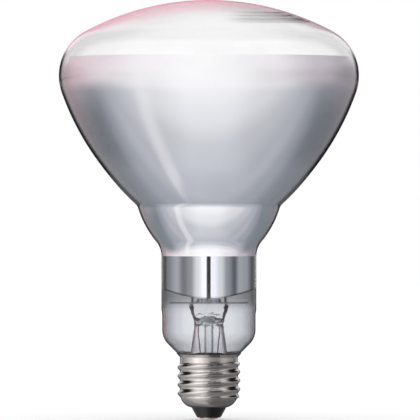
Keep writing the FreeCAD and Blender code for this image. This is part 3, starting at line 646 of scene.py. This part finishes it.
# Stem glass with its press
def stem_mesh(sides=72):
    """The flared tube and the press as one skin, outside and bore."""
    bm = bmesh.new()
    rings = []

    def ring(z, half_width, half_depth, power=2.0, crease=0.0):
        row = []
        for k in range(sides):
            angle = 2 * math.pi * k / sides
            c, s = math.cos(angle), math.sin(angle)
            x = math.copysign(abs(c) ** (2 / power), c) * half_width
            y = math.copysign(abs(s) ** (2 / power), s) * half_depth
            wobble = 1 + crease * (math.sin(5 * angle + z * 1.7) * 0.5 + math.sin(9 * angle - z * 2.9) * 0.35)
            row.append(bm.verts.new((x * wobble * MM, y * wobble * MM, z * MM)))
        rings.append(row)

    foot, tube_radius, rim_radius = SEAL_HEIGHT, STEM_TUBE_RADIUS, SEAL_RADIUS - STEM_RIM_GAP
    ring(foot - STEM_RIM_THICKNESS, 9.0, 9.0)
    ring(foot - STEM_RIM_THICKNESS, rim_radius, rim_radius)
    ring(foot - 0.1, rim_radius, rim_radius)
    ring(foot, STEM_FLARE_RADIUS, STEM_FLARE_RADIUS)
    poles = [
        (STEM_FLARE_RADIUS, foot),
        (STEM_FLARE_RADIUS - STEM_FLARE_WIDTH, foot + STEM_FLARE_RISE),
        (tube_radius, PRESS_FOOT - STEM_WAIST_DROP),
        (tube_radius, PRESS_FOOT),
    ]

    def bezier(t):
        weights = [(1 - t) ** 3, 3 * t * (1 - t) ** 2, 3 * t * t * (1 - t), t**3]
        return [sum(w * p[i] for w, p in zip(weights, poles)) for i in (0, 1)]

    for t in np.linspace(0, 1, 28)[1:]:
        radius, z = bezier(t)
        near = max(0.0, 1 - (PRESS_FOOT - z) / STEM_WAIST_DROP)
        ring(z, radius, radius, 2.0, 0.03 * near)
    for share in np.linspace(0, 1, 30)[1:]:
        squeeze = math.sin(math.pi / 2 * share)
        crease = 0.05 * math.exp(-((share - 0.18) / 0.16) ** 2) + 0.012
        ring(
            PRESS_FOOT + (PRESS_TOP - PRESS_FOOT) * share,
            tube_radius + (PRESS_HALF_WIDTH - tube_radius) * squeeze**2,
            tube_radius + (PRESS_HALF_DEPTH - tube_radius) * squeeze**0.8,
            2.0 + 2.2 * squeeze,
            crease,
        )
    ring(PRESS_TOP + 0.12, PRESS_HALF_WIDTH - 0.4, PRESS_HALF_DEPTH - 0.4, 4.0)
    bm.faces.new(rings[-1])
    last_outer = len(rings)
    for t in np.linspace(0, 1, 24):
        radius, z = bezier(t)
        bore = radius - STEM_WALL + 0.8 * (1 - t) ** 4
        ring(z - STEM_RIM_THICKNESS * (1 - t), bore, bore)
    for share in (0.4, 0.75, 0.95):
        ring(PRESS_FOOT + 2.2 * share, bore * math.cos(share * 1.2), bore * math.cos(share * 1.3))
    bm.faces.new(rings[-1][::-1])
    for index in range(len(rings) - 1):
        if index == last_outer - 1:
            continue
        low, high = rings[index], rings[index + 1]
        for k in range(sides):
            after = (k + 1) % sides
            bm.faces.new((low[k], low[after], high[after], high[k]))
    low, high = rings[0], rings[last_outer]
    for k in range(sides):
        after = (k + 1) % sides
        bm.faces.new((low[k], low[after], high[after], high[k]))
    return finish_mesh("stem", bm)


stem = stem_mesh()
ride(dress(stem, "stem_glass"), "stem_glass")


# Seal wires with a knot at their weld
def bent_path(corners):
    """The corners joined by straight runs with small round bends."""
    radius = 1.0
    points = [Vector(corners[0])]
    for before, corner, after in zip(corners, corners[1:], corners[2:]):
        before, corner, after = Vector(before), Vector(corner), Vector(after)
        into = (corner - before).normalized()
        out = (after - corner).normalized()
        turn = into.angle(out)
        reach = radius * math.tan(turn / 2)
        start, end = corner - into * reach, corner + out * reach
        for step in range(7):
            share = step / 6
            points.append((start * (1 - share) + corner * share) * (1 - share)
                          + (corner * (1 - share) + end * share) * share)
    points.append(Vector(corners[-1]))
    return points


def resampled(points):
    """The same path with a point at least every quarter of a millimetre or so."""
    step = 0.25
    result = [points[0]]
    for a, b in zip(points, points[1:]):
        count = max(int((b - a).length / step), 1)
        result += [a + (b - a) * (k / count) for k in range(1, count + 1)]
    return result


for side, name in ((1, "right"), (-1, "left")):
    spacings = [SEAL_WIRE_FOOT_SPACING] * 2 + [LEAD_SPACING] * 2
    path = resampled(bent_path([(x * side, 0, z) for x, z in zip(spacings, SEAL_WIRE_HEIGHTS)]))
    length = len(path) - 1

    def thick(share, path=path, length=length):
        z = path[round(share * length)].z
        return SEAL_WIRE_RADIUS + KNOT_EXTRA * math.exp(-(((z - KNOT_HEIGHT) / KNOT_SPREAD) ** 2))

    wire = tube("seal_wire_knot_" + name, path, thick, 14)
    ride(dress(wire, "copper"), "seal_wire_" + name)


# The real coil of the filament
def coil_path():
    opening = math.radians(WREATH_OPENING)
    start = -math.pi / 2 + opening / 2
    sweep = 2 * math.pi - opening
    turns, per_turn = 118, 14
    path = []
    for step in range(turns * per_turn + 1):
        share = step / (turns * per_turn)
        azimuth = start + sweep * share
        phase = 2 * math.pi * turns * share
        r = WREATH_RADIUS + COIL_RADIUS * math.cos(phase)
        path.append((r * math.cos(azimuth), r * math.sin(azimuth), FOCUS + COIL_RADIUS * math.sin(phase)))
    return path


coil = tube("filament_coil", coil_path(), COIL_WIRE, 6)
ride(dress(coil, "tungsten"), "filament")

# Pieces that keep their solid
for node, key in {
    "exhaust_tube": "stem_glass",
    "arbor_rod": "stem_glass",
    "heat_shield": "shield",
    "outer_lead_side": "copper",
    "outer_lead_contact": "copper",
    "inner_lead_right": "nickel",
    "inner_lead_left": "nickel",
    "support_wire_1": "molybdenum",
    "support_wire_2": "molybdenum",
    "support_wire_3": "molybdenum",
    "support_wire_4": "molybdenum",
    "support_wire_5": "molybdenum",
    "cap_cement": "cement",
    "cap_insulator": "black_glass",
    "centre_contact": "brass",
    "contact_solder": "solder",
    "side_solder": "solder",
}.items():
    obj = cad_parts[node]
    for slot_index in range(len(obj.material_slots)):
        obj.material_slots[slot_index].material = M[key]

# Studio: floor, world and camera
bm = bmesh.new()
bmesh.ops.create_grid(bm, x_segments=8, y_segments=8, size=4.0)
floor = finish_mesh("studio_floor", bm, smooth=False)
floor.location.z = -0.00002

mat = bpy.data.materials.new("studio_floor")
mat.use_nodes = True
tree = Tree(mat.node_tree)
paint = tree.mix(tree.noise(6, 3.0, 0.5), (0.86, 0.86, 0.86), (0.90, 0.90, 0.90))
diffuse = tree.node("ShaderNodeBsdfDiffuse", Color=paint).outputs[0]
light_path = tree.node("ShaderNodeLightPath")
glow = tree.node("ShaderNodeEmission", Color=(1, 1, 1, 1),
                 Strength=tree.product(light_path.outputs["Is Camera Ray"], 0.22)).outputs[0]
added = tree.node("ShaderNodeAddShader")
tree.feed(added.inputs[0], diffuse)
tree.feed(added.inputs[1], glow)
tree.node("ShaderNodeOutputMaterial", Surface=added.outputs[0])
floor.data.materials.append(mat)
floor.visible_glossy = False
floor.visible_transmission = False


def studio(world):
    """A white studio that only reflections and bent rays see.

    It has a wide soft light in front, darker walls and flags beside and behind, and a pale table below.
    The camera and rays straight through glass see white.
    """
    world.use_nodes = True
    t = Tree(world.node_tree)
    direction = t.node("ShaderNodeTexCoord").outputs["Generated"]
    split = t.node("ShaderNodeSeparateXYZ", Vector=direction)
    x, y, z = (split.outputs[axis] for axis in "XYZ")
    ahead = t.product(y, -1.0)
    azimuth = t.math("ARCTAN2", x, ahead)
    turn = t.math("ADD", t.math("DIVIDE", azimuth, 2 * math.pi), 0.5)
    degrees = t.product(azimuth, 180 / math.pi)
    aside = t.math("ABSOLUTE", degrees)
    rise = t.product(t.math("ARCSINE", z), 180 / math.pi)

    def around(stops):
        """A colour by the direction round the lamp, in degrees from the front to the right."""
        return t.ramp(turn, [((a + 180) / 360, colour) for a, colour in stops])

    walls = around([
        (-180, 0.80),
        (-172, (0.42, 0.40, 0.41)),
        (-162, (0.22, 0.21, 0.22)),
        (-149, (0.42, 0.28, 0.32)),
        (-125, (0.67, 0.50, 0.55)),
        (-88, (0.79, 0.73, 0.755)),
        (-50, (0.91, 0.90, 0.91)),
        (-5, 1.0),
        (20, 0.95),
        (52, (0.80, 0.765, 0.79)),
        (90, (0.52, 0.46, 0.51)),
        (130, (0.33, 0.29, 0.33)),
        (147, (0.26, 0.23, 0.26)),
        (160, (0.13, 0.12, 0.13)),
        (172, (0.40, 0.38, 0.40)),
        (180, 0.80),
    ])
    upper = around([
        (-180, (0.96, 0.84, 0.88)),
        (-160, (0.96, 0.86, 0.90)),
        (-138, (0.80, 0.60, 0.66)),
        (-95, (0.80, 0.69, 0.73)),
        (-55, (0.90, 0.88, 0.89)),
        (0, 0.97),
        (50, (0.87, 0.855, 0.87)),
        (100, (0.54, 0.50, 0.55)),
        (142, (0.33, 0.30, 0.33)),
        (158, (0.90, 0.88, 0.89)),
        (180, (0.96, 0.90, 0.92)),
    ])
    # Low down the walls lose their colour, and high up they pass into the upper walls
    plain = t.tint(t.node("ShaderNodeRGBToBW", Color=walls).outputs[0], (0.97, 1.0, 1.05))
    level = t.mix(t.smooth(rise, -38, -4), plain, walls)
    behind = t.product(t.smooth(rise, 2, 12), t.smooth(aside, 140, 152))
    blend = t.math("MAXIMUM", t.smooth(rise, 2, 24), behind)
    level = t.mix(blend, level, upper)

    # The table: its brightness by how far in front of the lamp a place on it lies
    below = t.math("MAXIMUM", t.product(z, -1.0), 0.05)
    place = t.math("DIVIDE", ahead, below)
    table = t.ramp(t.math("ADD", t.math("DIVIDE", place, 4.0), 0.5), [
        (0.0, (0.235, 0.25, 0.28)),
        (0.30, (0.24, 0.258, 0.295)),
        (0.42, (0.335, 0.355, 0.40)),
        (0.50, (0.445, 0.465, 0.51)),
        (0.60, (0.57, 0.59, 0.63)),
        (0.70, (0.78, 0.79, 0.82)),
        (0.86, (0.94, 0.94, 0.96)),
        (1.0, (0.96, 0.96, 0.98)),
    ])
    tilt = t.math("ADD", t.product(x, -0.03), 1.0)
    table = t.tint(table, t.node("ShaderNodeCombineXYZ", X=tilt, Y=tilt, Z=tilt).outputs[0])
    at_sides = t.product(t.smooth(rise, -24, -8), t.smooth(aside, 40, 90))
    rosy = t.mix(at_sides, (1.0, 1.0, 1.0), (1.02, 0.975, 0.99))
    table = t.tint(table, rosy)
    level = t.mix(t.smooth(rise, -2, -28), level, table)

    # Dull sides just above the table, and a light shade on the table at both sides of the front
    dull = t.product(t.smooth(rise, -3, -17), t.smooth(rise, -47, -29),
                     t.smooth(aside, 76, 114), t.smooth(aside, 161, 147))
    amount = t.math("SUBTRACT", 0.20, t.product(t.smooth(x, -0.2, 0.2), 0.07))
    dull = t.product(dull, amount)
    level = t.mix(dull, level, (0, 0, 0))
    shade = t.product(t.smooth(rise, -2, -14), t.smooth(rise, -70, -56),
                      t.smooth(aside, 18, 52), t.smooth(aside, 98, 82))
    level = t.mix(t.product(shade, 0.12), level, (0, 0, 0))

    # Bright cloth overhead, and a curtain behind the lamp for the glass of the face, not for the mirror
    light_path = t.node("ShaderNodeLightPath").outputs
    crossed = light_path["Transmission Depth"]
    off_face = t.math("LESS_THAN", crossed, 3.5)
    level = t.mix(t.smooth(rise, 36, 50), level, (1.05, 1.05, 1.05))
    folds = t.node("ShaderNodeTexNoise", Vector=direction, Scale=5.0, Detail=3.0, Roughness=0.6)
    folds = folds.outputs["Fac"]
    left = t.mix(t.smooth(folds, 0.35, 0.65), (0.86, 0.28, 0.40), (0.78, 0.26, 0.37))
    right = t.mix(t.smooth(folds, 0.40, 0.60), (0.42, 0.22, 0.27), (0.22, 0.11, 0.14))
    curtain = t.mix(t.smooth(x, -0.02, 0.10), left, right)
    # Dark slats across the right half of the curtain
    tall = t.math("SQRT", t.product(t.math("ADD", ahead, 1.0), 2.0))
    slat = t.math("DIVIDE", z, t.math("MAXIMUM", tall, 0.05))
    slats = None
    for height, half in ((0.947, 0.0028), (0.935, 0.0036), (0.9205, 0.0054), (0.9095, 0.0018)):
        line = t.smooth(t.math("ABSOLUTE", t.math("SUBTRACT", slat, height)), half * 1.8, half * 0.7)
        slats = line if slats is None else t.math("MAXIMUM", slats, line)
    hung = t.product(t.smooth(rise, 3, 9), t.smooth(rise, 40, 33), t.smooth(aside, 166, 171), off_face)
    level = t.mix(hung, level, curtain)
    slats = t.product(slats, t.smooth(rise, 10, 16), t.smooth(rise, 50, 46), t.smooth(aside, 160, 166),
                      t.smooth(x, 0.03, 0.11), off_face)
    level = t.mix(slats, level, (0.03, 0.015, 0.02))

    # Dark edges behind the lamp at both sides of the backdrop
    lighter_foot = t.math("SUBTRACT", 1.0, t.product(t.smooth(slat, -0.54, -0.68), 0.35))
    edge_height = t.product(t.smooth(rise, 16, 8), t.smooth(slat, 0.58, 0.36), lighter_foot)
    edges = t.product(t.smooth(aside, 158, 166), t.smooth(rise, -26, -15), edge_height)
    level = t.mix(t.product(edges, 0.92), level, (0.0, 0.0, 0.0))

    # A long bright edge on the table at the left
    dot = t.node("ShaderNodeVectorMath")
    dot.operation = "DOT_PRODUCT"
    t.feed(dot.inputs[0], direction)
    t.feed(dot.inputs[1], (0.594, -0.773, -0.222))
    band = t.product(t.smooth(t.math("ABSOLUTE", dot.outputs["Value"]), 0.115, 0.045),
                     t.smooth(rise, -76, -66), t.smooth(rise, -4, -14), t.smooth(x, 0.1, -0.1))
    level = t.mix(t.product(band, 0.34), level, (1, 1, 1))

    # The thin line at table height that the straight neck sees: lights, the gap between them, and flags
    strip = around([
        (-180, 0.80),
        (-171, 0.75),
        (-160, (0.03, 0.03, 0.032)),
        (-142, (0.03, 0.03, 0.032)),
        (-122, (0.18, 0.19, 0.21)),
        (-88, (0.32, 0.34, 0.37)),
        (-66, (0.13, 0.14, 0.155)),
        (-48, (0.22, 0.23, 0.25)),
        (-28, (0.64, 0.66, 0.69)),
        (-14, (0.93, 0.95, 1.0)),
        (12, (0.88, 0.90, 0.95)),
        (30, (0.60, 0.62, 0.66)),
        (48, (0.24, 0.26, 0.29)),
        (68, (0.085, 0.09, 0.105)),
        (84, (0.31, 0.33, 0.36)),
        (106, (0.27, 0.29, 0.32)),
        (136, (0.07, 0.073, 0.08)),
        (158, (0.04, 0.042, 0.046)),
        (172, 0.75),
        (180, 0.80),
    ])
    strip = t.mix(t.smooth(t.math("ABSOLUTE", t.math("SUBTRACT", degrees, -0.5)), 6.5, 3.5), strip,
                  (0.02, 0.021, 0.024))
    in_strip = t.product(t.smooth(rise, -1.05, -0.95), t.smooth(rise, -0.22, -0.36))
    level = t.mix(in_strip, level, strip)

    # What the cap sees: a wide light at the left, dark flags in front at the right and behind at both sides
    nearby = around([
        (-180, 0.50),
        (-152, (0.48, 0.47, 0.48)),
        (-126, (0.30, 0.29, 0.29)),
        (-100, (0.52, 0.51, 0.51)),
        (-77, (0.86, 0.85, 0.84)),
        (-52, (1.50, 1.48, 1.47)),
        (-32, (1.32, 1.30, 1.29)),
        (-14, (0.86, 0.84, 0.83)),
        (2, (0.56, 0.55, 0.55)),
        (28, (0.42, 0.41, 0.41)),
        (62, (0.58, 0.57, 0.57)),
        (92, (0.38, 0.38, 0.37)),
        (126, 0.21),
        (152, 0.60),
        (180, 0.60),
    ])
    under = around([
        (-180, 0.26),
        (-120, (0.42, 0.41, 0.41)),
        (-80, (0.80, 0.79, 0.78)),
        (-40, (0.82, 0.81, 0.80)),
        (0, (0.36, 0.35, 0.35)),
        (40, (0.21, 0.21, 0.20)),
        (90, (0.23, 0.23, 0.22)),
        (140, 0.20),
        (180, 0.26),
    ])
    nearby = t.mix(t.smooth(rise, 2, -24), nearby, under)
    front_flag = t.product(t.smooth(rise, -4, 4), t.smooth(rise, 60, 52),
                           t.smooth(degrees, -2, 8), t.smooth(degrees, 54, 42))
    nearby = t.mix(t.product(front_flag, 0.84), nearby, (0.05, 0.045, 0.045))
    flags = t.product(t.smooth(rise, 10, 17), t.smooth(rise, 53, 46),
                      t.smooth(aside, 86, 98), t.smooth(aside, 147, 139))
    nearby = t.mix(flags, nearby, (0.004, 0.004, 0.004))
    nearby = t.mix(t.smooth(rise, 52, 60), nearby, (1.0, 1.0, 1.0))
    nearby = t.mix(t.smooth(aside, 153, 161), nearby, level)
    outer_edges = t.product(t.smooth(aside, 151, 161), t.smooth(rise, -60, -45), edge_height)
    nearby = t.mix(t.product(outer_edges, 0.94), nearby, (0.0, 0.0, 0.0))

    # A ray that crosses whole walls goes in and out of glass twice each time. One that is bent by the rim
    # of a wall or by solid glass doesn't, and it leaves the white backdrop
    reflected = t.math("GREATER_THAN", light_path["Glossy Depth"], 0.5)
    odd = t.math("GREATER_THAN", t.math("MODULO", crossed, 4.0), 0.5)
    seen = t.math("MAXIMUM", light_path["Is Camera Ray"], light_path["Is Transmission Ray"])
    seen = t.math("MAXIMUM", seen, light_path["Is Glossy Ray"])
    inside_face = t.math("LESS_THAN", t.math("ABSOLUTE", t.math("SUBTRACT", crossed, 2.0)), 0.5)
    at_face = t.smooth(rise, 4, 14)
    softer = t.product(inside_face, at_face, t.math("SUBTRACT", 0.9, t.product(slats, 0.9)))
    around_lamp = t.mix(softer, level, (1.0, 1.0, 1.0))
    twice = t.product(t.math("GREATER_THAN", light_path["Glossy Depth"], 1.5),
                      t.math("GREATER_THAN", crossed, 3.5))
    around_lamp = t.mix(t.product(twice, at_face, 0.9), around_lamp, (1.0, 1.0, 1.0))
    around_lamp = t.mix(t.math("LESS_THAN", crossed, 0.5), around_lamp, nearby)
    low = t.product(t.smooth(rise, -34, -22), t.smooth(rise, 40, 26))
    side_dark = t.mix(t.smooth(x, 0.1, -0.1), (0.30, 0.30, 0.30), (0.55, 0.53, 0.54))
    bent = t.mix(low, t.tint(level, side_dark), t.mix(0.50, strip, (0.0, 0.0, 0.0)))
    away = t.math("MAXIMUM", t.smooth(y, 0.50, 0.68), t.smooth(aside, 128, 143))
    bent = t.mix(away, bent, (1.0, 1.0, 1.0))
    shown = t.mix(odd, (1.0, 1.0, 1.0), bent)
    shown = t.mix(reflected, shown, around_lamp)
    colour = t.mix(seen, (0.97, 0.97, 0.98), shown)
    strength = t.math("ADD", 1.0, t.product(reflected, seen, 0.13))
    background = t.node("ShaderNodeBackground", Color=colour, Strength=strength)
    t.node("ShaderNodeOutputWorld", Surface=background.outputs[0])


world = bpy.data.worlds.new("studio")
bpy.context.scene.world = world
studio(world)

camera_data = bpy.data.cameras.new("camera")
camera_data.sensor_width = 36.0
camera_data.lens = camera_data.sensor_width * CAMERA_DISTANCE / CAMERA_WIDTH_SEEN
camera_data.clip_start = 0.05
camera_data.clip_end = 50
camera = bpy.data.objects.new("camera", camera_data)
camera.location = (CAMERA_ASIDE * MM, -CAMERA_DISTANCE * MM, CAMERA_HEIGHT * MM)
camera.rotation_euler = (math.pi / 2, 0, 0)
bpy.context.scene.collection.objects.link(camera)
bpy.context.scene.camera = camera

bpy.context.scene.view_settings.view_transform = "Standard"
